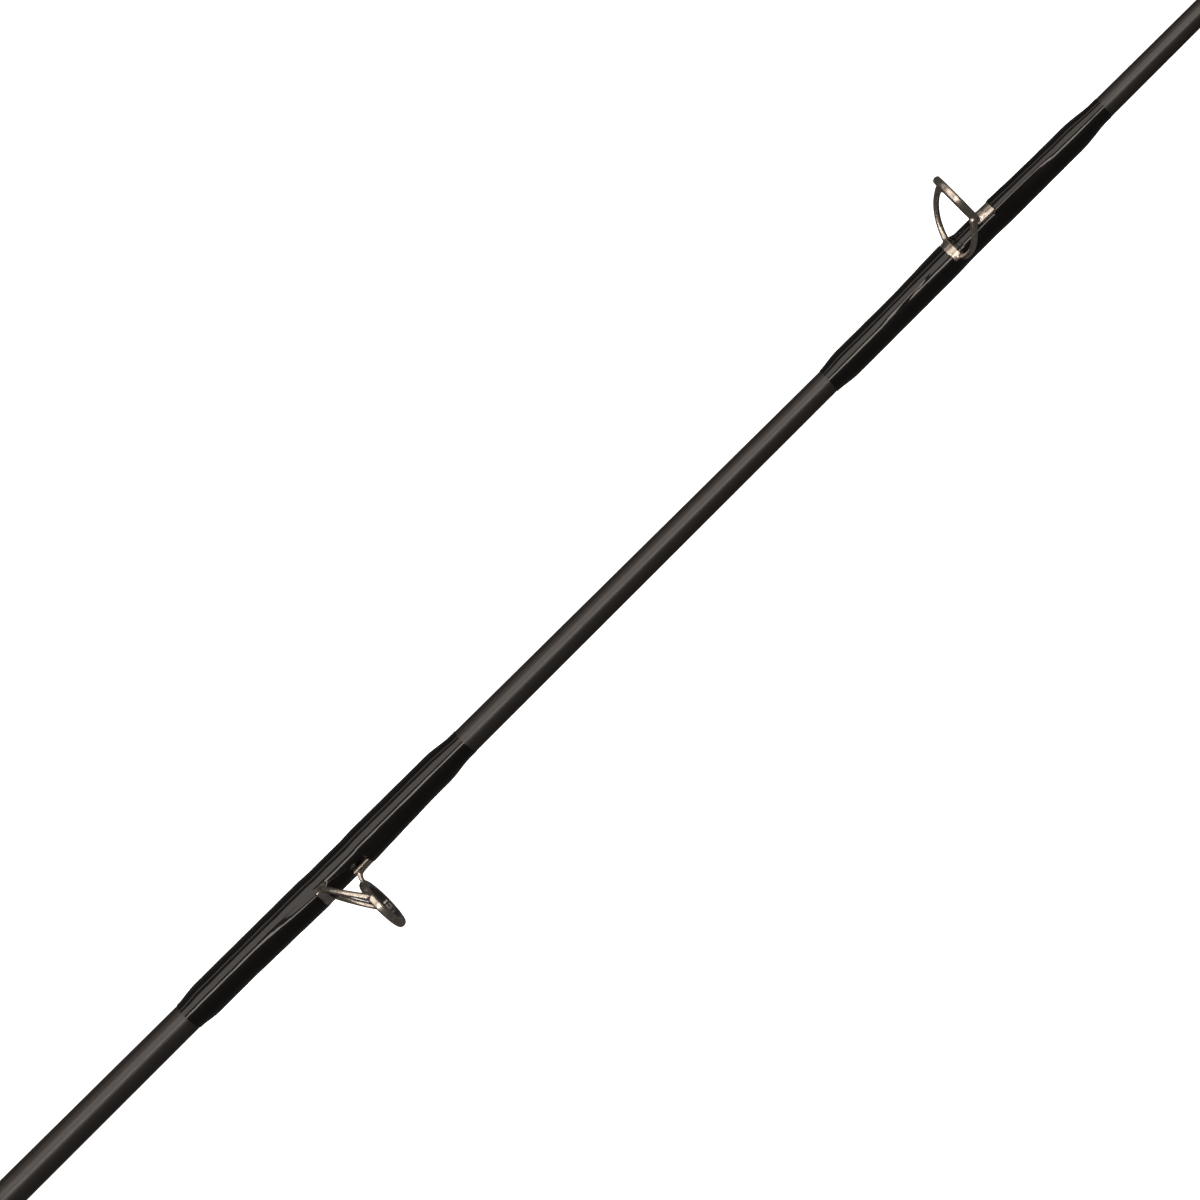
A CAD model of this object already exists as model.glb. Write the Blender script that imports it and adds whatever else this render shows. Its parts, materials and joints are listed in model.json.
"""Looks of the two-piece spinning rod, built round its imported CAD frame.

Everything is in metres in the frame's own axes: +X runs from the butt to the tip, the reel hangs on -Z.
Turned pieces are lathed finely, and the bent-metal pieces are grown from smoothly blended bars and bands.
"""
import json
import math

import bpy
import numpy as np
from mathutils import Matrix, Vector


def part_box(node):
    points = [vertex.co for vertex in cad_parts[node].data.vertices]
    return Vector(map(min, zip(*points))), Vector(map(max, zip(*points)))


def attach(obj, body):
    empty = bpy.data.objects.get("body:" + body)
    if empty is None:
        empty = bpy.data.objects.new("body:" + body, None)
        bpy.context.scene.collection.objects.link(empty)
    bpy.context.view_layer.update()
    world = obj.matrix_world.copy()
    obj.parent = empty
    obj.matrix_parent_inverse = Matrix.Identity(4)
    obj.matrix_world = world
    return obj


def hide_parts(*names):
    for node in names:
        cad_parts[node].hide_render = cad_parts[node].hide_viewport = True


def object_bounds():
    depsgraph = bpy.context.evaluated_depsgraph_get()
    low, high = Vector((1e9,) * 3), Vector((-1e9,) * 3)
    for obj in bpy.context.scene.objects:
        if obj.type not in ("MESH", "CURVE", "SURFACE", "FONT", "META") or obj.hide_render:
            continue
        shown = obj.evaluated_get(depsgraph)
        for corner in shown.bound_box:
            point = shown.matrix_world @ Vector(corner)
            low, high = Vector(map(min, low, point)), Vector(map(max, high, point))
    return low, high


MM = 0.001
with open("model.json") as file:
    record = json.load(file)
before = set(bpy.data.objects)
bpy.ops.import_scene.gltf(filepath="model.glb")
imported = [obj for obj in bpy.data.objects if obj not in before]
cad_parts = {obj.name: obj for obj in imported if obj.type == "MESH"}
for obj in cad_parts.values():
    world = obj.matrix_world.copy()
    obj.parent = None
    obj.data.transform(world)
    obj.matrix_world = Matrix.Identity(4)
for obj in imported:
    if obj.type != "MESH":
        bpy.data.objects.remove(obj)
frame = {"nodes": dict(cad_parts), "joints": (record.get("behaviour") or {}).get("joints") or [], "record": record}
cad_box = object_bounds()
nodes = frame["nodes"]
joints = {j["name"]: j for j in frame["joints"]}


# ---- Camera: a long lens above the rod's flank, rolled so that the tip points to the upper right ----

AZIMUTH = 7.5
ELEVATION = 50.0
ROD_SLOPE = 44.8            # degrees, in the picture
VIEW_ANGLE = 12.8           # degrees, across the picture
VIEW_WIDTH = 224.4 * MM     # across the picture, at the rod
AIM_ALONG = 0.409           # the picture's middle, as a share of the way from the third guide to the fourth
AIM_BESIDE = 1.05 * MM      # the rod runs this far below and right of the middle


def middle(node):
    lo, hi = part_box(node)
    return (lo + hi) / 2


def look_back(azimuth, elevation):
    a, e = math.radians(azimuth), math.radians(elevation)
    return Vector((math.sin(a) * math.cos(e), -math.cos(a) * math.cos(e), math.sin(e)))


def make_camera():
    """A camera that looks at the stretch of the tip section between the third and fourth guides."""
    third, fourth = middle("guide_3_ring").x, middle("guide_4_ring").x
    back = look_back(AZIMUTH, ELEVATION)
    along = Vector((1, 0, 0)) - back * back.x
    along.normalize()
    across = back.cross(along)
    aim = Vector((third + AIM_ALONG * (fourth - third), 0, 0)) + across * AIM_BESIDE
    slope = math.radians(ROD_SLOPE)
    right = along * math.cos(slope) - across * math.sin(slope)
    up = back.cross(right)
    data = bpy.data.cameras.new("camera")
    data.lens = data.sensor_width / 2 / math.tan(math.radians(VIEW_ANGLE) / 2)
    camera = bpy.data.objects.new("camera", data)
    bpy.context.scene.collection.objects.link(camera)
    distance = VIEW_WIDTH / 2 / math.tan(math.radians(VIEW_ANGLE) / 2)
    turn = Matrix((right, up, back)).transposed().to_4x4()
    camera.matrix_world = Matrix.Translation(aim + back * distance) @ turn
    data.clip_start = 0.01
    data.clip_end = 500
    bpy.context.scene.camera = camera


make_camera()


# ---- Materials ----

def new_material(name, colour, roughness, metallic=0.0, coat=0.0, coat_roughness=0.03, specular=0.5):
    mat = bpy.data.materials.new(name)
    mat.use_nodes = True
    shader = mat.node_tree.nodes["Principled BSDF"]
    shader.inputs["Base Color"].default_value = (*colour, 1)
    shader.inputs["Roughness"].default_value = roughness
    shader.inputs["Metallic"].default_value = metallic
    shader.inputs["Coat Weight"].default_value = coat
    shader.inputs["Coat Roughness"].default_value = coat_roughness
    shader.inputs["Specular IOR Level"].default_value = specular
    mat.diffuse_color = (*colour, 1)
    return mat


def noise(mat, scale, stretch=(1, 1, 1), detail=3.0, kind="ShaderNodeTexNoise"):
    """A noise texture in the piece's own axes, with features about 1 / scale metres across."""
    tree = mat.node_tree
    where = tree.nodes.new("ShaderNodeTexCoord")
    mapping = tree.nodes.new("ShaderNodeMapping")
    mapping.inputs["Scale"].default_value = stretch
    texture = tree.nodes.new(kind)
    texture.inputs["Scale"].default_value = scale
    if "Detail" in texture.inputs:
        texture.inputs["Detail"].default_value = detail
    tree.links.new(where.outputs["Object"], mapping.inputs["Vector"])
    tree.links.new(mapping.outputs["Vector"], texture.inputs["Vector"])
    return texture


def value_of(texture):
    return texture.outputs["Fac"] if "Fac" in texture.outputs else texture.outputs["Distance"]


def vary_roughness(mat, texture, low, high):
    spread = mat.node_tree.nodes.new("ShaderNodeMapRange")
    spread.inputs["To Min"].default_value = low
    spread.inputs["To Max"].default_value = high
    shader = mat.node_tree.nodes["Principled BSDF"]
    mat.node_tree.links.new(value_of(texture), spread.inputs["Value"])
    mat.node_tree.links.new(spread.outputs["Result"], shader.inputs["Roughness"])


def vary_colour(mat, texture, dark, light, start=0.35, end=0.65):
    blend = mat.node_tree.nodes.new("ShaderNodeValToRGB")
    for stop, position, colour in zip(blend.color_ramp.elements, (start, end), (dark, light)):
        stop.position = position
        stop.color = (*colour, 1)
    shader = mat.node_tree.nodes["Principled BSDF"]
    mat.node_tree.links.new(value_of(texture), blend.inputs["Fac"])
    mat.node_tree.links.new(blend.outputs["Color"], shader.inputs["Base Color"])


def bump(mat, textures, socket="Normal"):
    """Adds a bump for each (texture, depth in metres), one on top of the other, to the shader."""
    tree = mat.node_tree
    before = None
    for texture, depth in textures:
        node = tree.nodes.new("ShaderNodeBump")
        node.inputs["Strength"].default_value = 1.0
        node.inputs["Distance"].default_value = depth
        tree.links.new(value_of(texture), node.inputs["Height"])
        if before:
            tree.links.new(before, node.inputs["Normal"])
        before = node.outputs["Normal"]
    tree.links.new(before, tree.nodes["Principled BSDF"].inputs[socket])


def blank_paint():
    """Satin near-black paint with a fine tooth, over faint rings left by the tape that cured it."""
    mat = new_material("blank_paint", (0.018, 0.0155, 0.0132), 0.34, specular=0.8)
    grain = noise(mat, 9000, detail=4)
    vary_roughness(mat, noise(mat, 900, (0.3, 1, 1)), 0.3, 0.38)
    vary_colour(mat, grain, (0.014, 0.0115, 0.0094), (0.0215, 0.0187, 0.0163))
    bump(mat, [(grain, 0.004 * MM), (noise(mat, 420, (1, 0.05, 0.05), 1.0), 0.01 * MM)])
    return mat


def wrap_resin():
    """Black thread under a thick clear coat that has settled into lengthwise streaks."""
    mat = new_material(
        "wrap_resin", (0.003, 0.0025, 0.002), 0.45, coat=1.0, coat_roughness=0.06, specular=0.08)
    thread = noise(mat, 5200, (1, 0.02, 0.02), 1.0)
    vary_colour(mat, thread, (0.0014, 0.0011, 0.0009), (0.0036, 0.003, 0.0024))
    bump(mat, [(thread, 0.012 * MM)])
    streaks = noise(mat, 2600, (0.05, 1, 1), 2.0)
    waves = noise(mat, 240, (1, 0.8, 0.8), 1.0)
    bump(mat, [(streaks, 0.006 * MM), (waves, 0.06 * MM)], "Coat Normal")
    return mat


def guide_steel():
    """Polished steel with a smoky warm tint, and the soft waviness of tumbled metal."""
    mat = new_material("guide_steel", (0.6, 0.54, 0.47), 0.16, metallic=1.0)
    cloud = noise(mat, 900, detail=3)
    vary_colour(mat, cloud, (0.46, 0.41, 0.35), (0.68, 0.615, 0.54), 0.3, 0.7)
    vary_roughness(mat, noise(mat, 2500, detail=4), 0.2, 0.34)
    bump(mat, [(noise(mat, 1100, detail=2), 0.035 * MM)])
    return mat


def ring_ceramic():
    """Dark ceramic, ground and polished."""
    mat = new_material(
        "ring_ceramic", (0.02, 0.019, 0.018), 0.12, coat=0.6, coat_roughness=0.04, specular=0.8)
    fine = noise(mat, 6000, detail=2)
    vary_roughness(mat, fine, 0.09, 0.17)
    vary_colour(mat, fine, (0.016, 0.015, 0.0145), (0.026, 0.0245, 0.023))
    bump(mat, [(fine, 0.0008 * MM)])
    return mat


def grip_foam():
    """Dense black foam, sanded so that its cut cells show."""
    mat = new_material("grip_foam", (0.02, 0.02, 0.02), 0.85, specular=0.3)
    shader = mat.node_tree.nodes["Principled BSDF"]
    shader.inputs["Sheen Weight"].default_value = 0.12
    shader.inputs["Sheen Roughness"].default_value = 0.5
    cells = noise(mat, 2300, kind="ShaderNodeTexVoronoi")
    patches = noise(mat, 160, detail=4)
    vary_colour(mat, patches, (0.014, 0.014, 0.0143), (0.026, 0.026, 0.0265), 0.3, 0.7)
    vary_roughness(mat, cells, 0.78, 0.95)
    bump(mat, [(cells, 0.1 * MM), (noise(mat, 5000, detail=3), 0.03 * MM)])
    return mat


def cap_rubber():
    """Soft black rubber with a faint moulded grain."""
    mat = new_material("cap_rubber", (0.013, 0.013, 0.013), 0.6, specular=0.35)
    grain = noise(mat, 3000, detail=4)
    vary_roughness(mat, grain, 0.52, 0.7)
    vary_colour(mat, noise(mat, 300), (0.01, 0.01, 0.01), (0.017, 0.017, 0.017))
    bump(mat, [(grain, 0.02 * MM)])
    return mat


def turned_metal(name, dark, light, roughness):
    """Anodised aluminium with the fine rings that turning leaves."""
    mat = new_material(name, light, roughness, metallic=1.0)
    rings = noise(mat, 9000, (1, 0.01, 0.01), 2.0)
    vary_colour(mat, noise(mat, 700, (1, 0.3, 0.3)), dark, light)
    vary_roughness(mat, rings, roughness - 0.06, roughness + 0.1)
    bump(mat, [(rings, 0.004 * MM)])
    return mat


def seat_resin():
    """Graphite-filled moulded resin with a soft sheen."""
    mat = new_material("seat_resin", (0.016, 0.016, 0.016), 0.36, specular=0.5)
    flow = noise(mat, 500, (0.4, 1, 1), 4.0)
    vary_colour(mat, flow, (0.012, 0.012, 0.012), (0.021, 0.021, 0.0215))
    vary_roughness(mat, noise(mat, 2500, detail=4), 0.32, 0.45)
    bump(mat, [(noise(mat, 4500, detail=3), 0.008 * MM)])
    return mat


def arbor_foam():
    """Rigid buff foam with open cells."""
    mat = new_material("arbor_foam", (0.52, 0.46, 0.36), 0.9)
    cells = noise(mat, 1800, kind="ShaderNodeTexVoronoi")
    vary_colour(mat, cells, (0.36, 0.31, 0.23), (0.56, 0.5, 0.4))
    vary_roughness(mat, cells, 0.85, 0.95)
    bump(mat, [(cells, 0.1 * MM)])
    return mat


MATERIALS = {
    "blank": blank_paint(),
    "wrap": wrap_resin(),
    "guide_metal": guide_steel(),
    "ring_ceramic": ring_ceramic(),
    "grip_foam": grip_foam(),
    "cap_rubber": cap_rubber(),
    "trim_metal": turned_metal("trim_metal", (0.24, 0.22, 0.2), (0.34, 0.315, 0.29), 0.26),
    "seat_resin": seat_resin(),
    "seat_metal": turned_metal("seat_metal", (0.25, 0.235, 0.22), (0.33, 0.31, 0.29), 0.3),
    "arbor": arbor_foam(),
}
SLOT_OF = {s["node"]: s["material_slot"] for s in frame["record"]["subparts"]}
BODY_OF = {n: body for body, members in frame["record"]["behaviour"]["bodies"].items() for n in members}


# ---- Mesh helpers ----

def add_piece(node, verts, faces, sharp=None):
    """Makes a mesh that stands for the CAD node, on its body and with its material."""
    mesh = bpy.data.meshes.new(node + "_mesh")
    mesh.from_pydata([tuple(v) for v in verts], [], [tuple(f) for f in faces])
    mesh.validate()
    mesh.polygons.foreach_set("use_smooth", [True] * len(mesh.polygons))
    if sharp is not None:
        mesh.set_sharp_from_angle(angle=math.radians(sharp))
    mesh.materials.append(MATERIALS[SLOT_OF[node]])
    piece = bpy.data.objects.new(node + "_look", mesh)
    bpy.context.scene.collection.objects.link(piece)
    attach(piece, BODY_OF[node])
    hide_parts(node)
    return piece


def rounded(corners, steps=5):
    """Points along a closed outline of (x, r, fillet) corners, with an arc at each one that has a fillet."""
    points = []
    for i, (x, r, fillet) in enumerate(corners):
        here = np.array((x, r), float)
        if fillet <= 0:
            points.append(here)
            continue
        a = np.array(corners[i - 1][:2], float) - here
        b = np.array(corners[(i + 1) % len(corners)][:2], float) - here
        la, lb = np.linalg.norm(a), np.linalg.norm(b)
        a, b = a / la, b / lb
        half = math.acos(max(-1.0, min(1.0, float(a @ b)))) / 2
        cut = min(fillet / math.tan(half), 0.48 * la, 0.48 * lb)
        centre = here + (a + b) / np.linalg.norm(a + b) * cut / math.cos(half)
        start, end = here + a * cut - centre, here + b * cut - centre
        sweep = math.pi - 2 * half
        for k in range(steps + 1):
            t = k / steps
            points.append(centre + (start * math.sin((1 - t) * sweep) + end * math.sin(t * sweep))
                          / math.sin(sweep))
    return points


def turned_grid(x, angle, r):
    """A grid of points round X, closed both ways. The angle is measured from +Z towards -Y."""
    verts = np.stack([x, -r * np.sin(angle), r * np.cos(angle)], -1).reshape(-1, 3)
    n, m = x.shape
    i, j = np.meshgrid(np.arange(n), np.arange(m), indexing="ij")
    a, b = i * m + j, i * m + (j + 1) % m
    c, d = (i + 1) % n * m + (j + 1) % m, (i + 1) % n * m + j
    return verts, np.stack([a, b, c, d], -1).reshape(-1, 4)


def lathed(outline, angles, shape=None):
    """A closed outline of (x, r) turned about X. shape(x, angle, r) may change each point's radius.
    The angles are a count of even steps, or a list."""
    outline = np.array(outline)
    if isinstance(angles, int):
        angles = np.linspace(0, 2 * math.pi, angles, endpoint=False)
    x = np.repeat(outline[:, 0][:, None], len(angles), 1)
    r = np.repeat(outline[:, 1][:, None], len(angles), 1)
    angle = np.repeat(angles[None, :], len(outline), 0)
    if shape:
        r = shape(x, angle, r)
    return turned_grid(x, angle, r)


def lathe(node, corners, segments=96, shape=None, fine=None):
    """Lathes a closed outline of (x, r, fillet) corners. Long straight runs are split every `fine` metres."""
    outline = rounded(corners)
    if fine:
        split = []
        for a, b in zip(outline, outline[1:] + outline[:1]):
            n = max(1, int(np.linalg.norm(b - a) / fine))
            split += [a + (b - a) * k / n for k in range(n)]
        outline = split
    verts, faces = lathed(outline, segments, shape)
    return add_piece(node, verts, faces, sharp=50)


def skin(x, angle, outer, inner):
    """A grid of outer radii over x and angle, closed at both ends down to the inner radii there."""
    rings_x = np.concatenate([x, x[-1:], x[:1]])
    rings_r = np.concatenate([outer, inner[-1:], inner[:1]])
    rings_a = np.concatenate([angle, angle[:2]])
    return turned_grid(rings_x, rings_a, rings_r)


def span(node):
    """The lower end, upper end and largest radius of a node that is centred on the rod's axis."""
    lo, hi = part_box(node)
    return lo.x, hi.x, hi.z


# ---- Blended metal: a distance field on a grid, and its smooth surface ----

class Field:
    """A solid grown from simple shapes that blend into each other, in a box from lo to hi."""

    FAR = 1.0

    def __init__(self, lo, hi, step):
        self.step = step
        self.lo = np.array(lo, float)
        self.size = np.ceil((np.array(hi, float) - self.lo) / step).astype(int) + 1
        self.values = np.full(self.size, self.FAR, np.float32)

    def block(self, lo, hi):
        """The part of the grid inside a box, and its points."""
        a = np.clip(np.floor((np.array(lo) - self.lo) / self.step).astype(int), 0, self.size - 1)
        b = np.clip(np.ceil((np.array(hi) - self.lo) / self.step).astype(int) + 1, 1, self.size)
        axes = [self.lo[k] + np.arange(a[k], b[k]) * self.step for k in range(3)]
        where = tuple(slice(a[k], b[k]) for k in range(3))
        return where, np.meshgrid(*axes, indexing="ij", sparse=True)

    def add(self, shape, lo, hi, blend=0.0):
        margin = blend + 3 * self.step
        where, points = self.block(np.array(lo) - margin, np.array(hi) + margin)
        old, new = self.values[where], shape(*points)
        self.values[where] = smooth_min(old, new, blend)

    def cut(self, shape, blend=0.0):
        where, points = self.block(self.lo, self.lo + self.size * self.step)
        self.values[where] = -smooth_min(-self.values[where], shape(*points), blend)

    def bar(self, points, radii, blend=0.0):
        """A bar of changing thickness through a list of points. Its own segments join without a blend."""
        points = [np.array(p, float) for p in points]
        lo = np.min(points, 0) - max(radii)
        hi = np.max(points, 0) + max(radii)

        def shape(x, y, z):
            best = None
            for a, b, ra, rb in zip(points, points[1:], radii, radii[1:]):
                d = capsule(x, y, z, a, b, ra, rb)
                best = d if best is None else np.minimum(best, d)
            return best

        self.add(shape, lo, hi, blend)

    def surface(self):
        """The field's zero surface as quads, with each vertex moved onto it."""
        v = self.values
        inside = v < 0
        corners = [(i, j, k) for i in (0, 1) for j in (0, 1) for k in (0, 1)]
        n = np.array(v.shape) - 1

        def corner(array, c):
            return array[c[0]:c[0] + n[0], c[1]:c[1] + n[1], c[2]:c[2] + n[2]]

        filled = sum(corner(inside, c).astype(np.int8) for c in corners)
        cells = np.argwhere((filled > 0) & (filled < 8))
        index = np.full(n, -1, np.int64)
        index[tuple(cells.T)] = np.arange(len(cells))
        total = np.zeros((len(cells), 3))
        crossed = np.zeros(len(cells))
        for axis in range(3):
            for c in corners:
                if c[axis]:
                    continue
                e = list(c)
                e[axis] = 1
                va = v[tuple((cells + c).T)]
                vb = v[tuple((cells + e).T)]
                hit = (va < 0) != (vb < 0)
                t = np.where(hit, va / np.where(hit, va - vb, 1), 0)
                p = cells + np.array(c) + t[:, None] * np.eye(3)[axis]
                total[hit] += p[hit]
                crossed += hit
        verts = self.settle(total / crossed[:, None])
        faces = []
        for axis in range(3):
            u, w = (axis + 1) % 3, (axis + 2) % 3
            low = [slice(None)] * 3
            high = [slice(None)] * 3
            low[axis], high[axis] = slice(0, -1), slice(1, None)
            edge = inside[tuple(low)] != inside[tuple(high)]
            for o in (u, w):
                trim = [slice(None)] * 3
                trim[o] = slice(1, -1)
                edge = edge[tuple(trim)]
            at = np.argwhere(edge)
            at[:, u] += 1
            at[:, w] += 1
            du, dw = np.eye(3, dtype=int)[u], np.eye(3, dtype=int)[w]
            quad = [index[tuple((at - d).T)] for d in (du + dw, dw, 0 * du, du)]
            quad = np.stack(quad, -1)
            leaving = inside[tuple(at.T)]
            quad[~leaving] = quad[~leaving][:, ::-1]
            faces.append(quad)
        return self.lo + verts * self.step, np.concatenate(faces)

    def settle(self, verts):
        """Moves points, in grid units, down the field's slope until the field is zero there."""
        for _ in range(3):
            value, slope = self.sample(verts)
            steep = np.maximum((slope ** 2).sum(1), 1e-12)
            move = -(value / steep)[:, None] * slope
            length = np.linalg.norm(move, axis=1)
            move *= np.minimum(1.0, 0.5 / np.maximum(length, 1e-9))[:, None]
            verts = verts + move
        return verts

    def sample(self, p):
        """The field's value and slope at points in grid units."""
        base = np.clip(np.floor(p).astype(int), 0, self.size - 2)
        f = p - base
        value = np.zeros(len(p))
        slope = np.zeros((len(p), 3))
        for c in ((i, j, k) for i in (0, 1) for j in (0, 1) for k in (0, 1)):
            c = np.array(c)
            w = np.where(c, f, 1 - f)
            v = self.values[tuple((base + c).T)]
            value += v * w.prod(1)
            for axis in range(3):
                others = [k for k in range(3) if k != axis]
                slope[:, axis] += v * (1 if c[axis] else -1) * w[:, others].prod(1)
        return value, slope


def smooth_min(a, b, blend):
    """The lower of two fields, with a fillet about `blend` across where they meet."""
    if blend <= 0:
        return np.minimum(a, b)
    h = np.clip(0.5 + 0.5 * (b - a) / blend, 0, 1)
    return b + (a - b) * h - blend * h * (1 - h)


def ramp(t):
    """0 below t = 0, 1 above t = 1, and smooth between."""
    t = np.clip(t, 0, 1)
    return t * t * (3 - 2 * t)


def quarter(t):
    """0 below t = 0, 1 above t = 1, and a quarter circle that starts steeply between."""
    return np.sqrt(np.clip(1 - (1 - np.clip(t, 0, 1)) ** 2, 0, 1))


def capsule(x, y, z, a, b, ra, rb):
    """Distance to a round bar from a to b whose radius goes from ra to rb."""
    d = b - a
    t = ((x - a[0]) * d[0] + (y - a[1]) * d[1] + (z - a[2]) * d[2]) / (d @ d)
    t = np.clip(t, 0, 1)
    gap = (x - a[0] - t * d[0]) ** 2 + (y - a[1] - t * d[1]) ** 2 + (z - a[2] - t * d[2]) ** 2
    return np.sqrt(gap) - (ra + (rb - ra) * t)


def rounded_box(distances, edge):
    """Distance to a box given the distances past its faces, one array for each axis, with rounded edges."""
    distances = [d + edge for d in distances]
    outside = sum(np.maximum(d, 0) ** 2 for d in distances)
    inside = np.minimum(np.maximum.reduce(np.broadcast_arrays(*distances)), 0)
    return np.sqrt(outside) + inside - edge


def band(x0, x1, r0, r1, z, edge, crown=0.0):
    """A ring about X, centred at height z, from radius r0 to r1, which falls by `crown` towards its edges."""
    def shape(x, y, zz):
        rho = np.sqrt(y ** 2 + (zz - z) ** 2)
        across = (x - (x0 + x1) / 2) / (x1 - x0) * 2
        top = r1 - crown * np.clip(across ** 2, 0, 1.5)
        return rounded_box([
            abs(x - (x0 + x1) / 2) - (x1 - x0) / 2,
            abs(rho - (r0 + top) / 2) - (top - r0) / 2,
        ], edge)
    return shape


def plate(x0, x1, r0, r1, half_angle, edge):
    """A plate bent round the X axis, from radius r0 to r1, within half_angle (radians) of +Z."""
    def shape(x, y, z):
        rho = np.sqrt(y ** 2 + z ** 2)
        turn = abs(np.arctan2(y, z))
        return rounded_box([
            abs(x - (x0 + x1) / 2) - (x1 - x0) / 2,
            abs(rho - (r0 + r1) / 2) - (r1 - r0) / 2,
            (turn - half_angle) * (r0 + r1) / 2,
        ], edge)
    return shape


def arc(a, b, c, count):
    """Points on the circle through a, b and c, from a to c."""
    a, b, c = (np.array(p, float) for p in (a, b, c))
    u, v = b - a, c - a
    w = np.cross(u, v)
    centre = a + ((v @ v) * np.cross(w, u) + (u @ u) * np.cross(v, w)) / (2 * (w @ w))
    ex = (a - centre) / np.linalg.norm(a - centre)
    ey = np.cross(w / np.linalg.norm(w), ex)
    turn = math.atan2((c - centre) @ ey, (c - centre) @ ex) % (2 * math.pi)
    r = np.linalg.norm(a - centre)
    steps = np.linspace(0, turn, count)
    return [centre + r * (ex * math.cos(t) + ey * math.sin(t)) for t in steps]


# ---- The blank ----

TIP_D = 2.0 * MM
TIP_TAPER = 6.4 / 1000      # growth of the tip section's diameter along its length
TIP_X0, TIP_X1, _ = span("tip_blank")
BUTT_X0, BUTT_X1, BUTT_R0 = span("butt_blank")
BUTT_R1 = 3.13 * MM
WALL = 0.5 * MM
SOCKET_GAP = 0.03 * MM


def blank_r(x):
    """The blank's outer radius at x, where the tip section covers the butt section's upper end."""
    tip = (TIP_D + TIP_TAPER * (TIP_X1 - x)) / 2
    return np.where(x < TIP_X0, butt_r(x), tip)


def butt_r(x):
    return BUTT_R0 + (BUTT_R1 - BUTT_R0) * (x - BUTT_X0) / (BUTT_X1 - BUTT_X0)


def make_blanks():
    wall = 1.4 * MM
    lathe("butt_blank", [
        (BUTT_X0, BUTT_R0 - wall, 0), (BUTT_X0, BUTT_R0, 0.2 * MM),
        (BUTT_X1, BUTT_R1, 0.3 * MM), (BUTT_X1, BUTT_R1 - wall, 0.2 * MM),
    ], fine=20 * MM)
    socket_end = BUTT_X1 + 3 * MM
    lathe("tip_blank", [
        (TIP_X0, float(butt_r(TIP_X0)) + SOCKET_GAP, 0.1 * MM), (TIP_X0, float(blank_r(TIP_X0)), 0.3 * MM),
        (TIP_X1, TIP_D / 2, 0.1 * MM), (TIP_X1, TIP_D / 2 - WALL, 0),
        (socket_end, float(blank_r(socket_end)) - 1.6 * WALL, 0),
        (socket_end, float(butt_r(socket_end)) + SOCKET_GAP, 0),
    ], fine=20 * MM)


make_blanks()


# ---- Handle ----

def make_handle():
    x0, x1, r = span("butt_cap")
    lip = 2 * MM
    floor_x = x0 + 10 * MM
    groove = 0.35 * MM
    lathe("butt_cap", [
        (x0, 0.02 * MM, 0), (x0, r - 3.4 * MM, 2 * MM), (x0 + 4 * MM, r, 3.4 * MM),
        (x1 - 4 * MM, r, 0.2 * MM), (x1 - 3.6 * MM, r - groove, 0.2 * MM),
        (x1 - 3 * MM, r - groove, 0.2 * MM), (x1 - 2.6 * MM, r, 0.2 * MM), (x1, r, 0.5 * MM),
        (x1, r - lip, 0), (floor_x, r - lip, 0), (floor_x, 0.02 * MM, 0),
    ])
    x0, x1, _ = span("rear_grip")
    lathe("rear_grip", [
        (x0, 0.3 * MM, 0), (x0, r - lip, 0), (x0 + 16 * MM, r - lip, 0), (x0 + 16 * MM, r, 0.5 * MM),
        (x0 + 144 * MM, r, 90 * MM), (x0 + 210 * MM, r - 1.4 * MM, 90 * MM), (x1, r - 2.6 * MM, 1.6 * MM),
        (x1, float(butt_r(x1)), 0), (x0 + 2 * MM, float(butt_r(x0)), 0), (x0 + 2 * MM, 0.3 * MM, 0),
    ], segments=128)
    for node in ("rear_trim_ring", "fore_trim_ring"):
        x0, x1, r = span(node)
        hole = float(butt_r(x0))
        mid = (x0 + x1) / 2
        lathe(node, [
            (x0, hole, 0), (x0, r, 0.6 * MM), (mid - 0.7 * MM, r, 0.15 * MM),
            (mid - 0.45 * MM, r - groove, 0.15 * MM), (mid + 0.45 * MM, r - groove, 0.15 * MM),
            (mid + 0.7 * MM, r, 0.15 * MM), (x1, r, 0.6 * MM), (x1, hole, 0),
        ])
    x0, x1, r = span("fore_grip")
    lathe("fore_grip", [
        (x0, float(butt_r(x0)), 0), (x0, r, 1.6 * MM), (x0 + 14 * MM, r, 30 * MM),
        (x0 + 62 * MM, r - 2.6 * MM, 60 * MM), (x1, r - 4.4 * MM, 1.5 * MM), (x1, float(butt_r(x1)), 0),
    ], segments=128)
    x0, x1, r = span("winding_check")
    lathe("winding_check", [
        (x0, float(butt_r(x0)), 0), (x0, r - 0.2 * MM, 0.15 * MM), (x0 + 1.3 * MM, r, 0.5 * MM),
        (x0 + 2.6 * MM, r - 1.3 * MM, 0.8 * MM), (x1, r - 1.6 * MM, 0.4 * MM), (x1, float(butt_r(x1)), 0),
    ])


make_handle()


# ---- Reel seat ----

PITCH = 2 * MM
HOOD_X0, HOOD_X1, _ = span("sliding_hood")
SEAT_X0, SEAT_X1, SEAT_R = span("seat_body")
HOOD_TRAVEL = joints["hood_slide"]["range_m"][1]


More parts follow.
